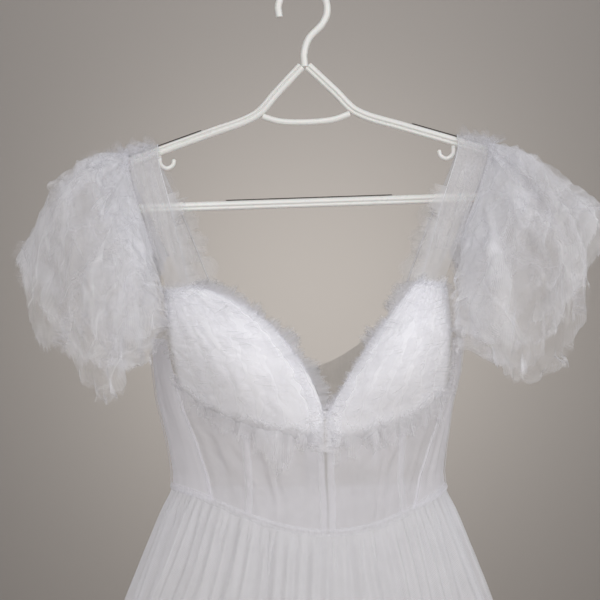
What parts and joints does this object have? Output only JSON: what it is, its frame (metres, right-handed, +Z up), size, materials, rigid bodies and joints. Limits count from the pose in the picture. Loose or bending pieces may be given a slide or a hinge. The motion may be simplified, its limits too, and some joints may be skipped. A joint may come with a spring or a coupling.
{
  "type": "tulle party dress on a clothes hanger",
  "caption": "White tulle party dress with ruffled cups, puffed ruffled sleeves, boned sheer bodice and gathered skirt, hanging by its straps on a white plastic hanger",
  "frame": {"origin": "underside of the hook's top, where the rod bears", "axes": "+Z up along the hanging line, -Y the front of the dress, +X to the right as seen from the front"},
  "size_m": [0.6202, 0.4438, 1.104],
  "materials": {
    "tulle": "sheer white nylon tulle, matte with a faint sheen",
    "cup_tulle": "white tulle in several layers over a soft cup",
    "frill_tulle": "gathered white tulle with raw frayed edges",
    "tape": "woven satin boning tape",
    "hanger_plastic": "moulded white plastic, satin gloss",
    "grip_strip": "dark matte non-slip strip",
    "wire": "nickelled steel wire"
  },
  "bodies": {
    "root": {"bodice_front_left": "tulle", "bodice_front_right": "tulle", "bodice_side_left": "tulle", "bodice_side_right": "tulle", "bodice_back_left": "tulle", "bodice_back_right": "tulle", "strap_left": "tulle", "strap_right": "tulle", "sleeve_left_lower": "tulle", "sleeve_left_upper": "tulle", "sleeve_right_lower": "tulle", "sleeve_right_upper": "tulle", "skirt_front": "tulle", "skirt_back": "tulle", "cup_left": "cup_tulle", "cup_right": "cup_tulle", "cup_frill_left_1": "frill_tulle", "cup_frill_left_2": "frill_tulle", "cup_frill_left_3": "frill_tulle", "cup_frill_left_4": "frill_tulle", "cup_frill_right_1": "frill_tulle", "cup_frill_right_2": "frill_tulle", "cup_frill_right_3": "frill_tulle", "cup_frill_right_4": "frill_tulle", "strap_frill_left_front": "frill_tulle", "strap_frill_left_back": "frill_tulle", "strap_frill_right_front": "frill_tulle", "strap_frill_right_back": "frill_tulle", "boning_front_centre": "tape", "boning_front_left": "tape", "boning_front_right": "tape", "boning_back_left": "tape", "boning_back_right": "tape", "back_placket": "tape", "hanger_hook": "hanger_plastic", "hanger_arm_left": "hanger_plastic", "hanger_arm_right": "hanger_plastic", "hanger_bar": "hanger_plastic", "hanger_brace": "hanger_plastic", "hanger_strap_hook_left": "hanger_plastic", "hanger_strap_hook_right": "hanger_plastic", "hanger_grip_left": "grip_strip", "hanger_grip_right": "grip_strip", "hanger_grip_bar": "grip_strip", "hook_and_eye": "wire"}
  },
  "joints": []
}
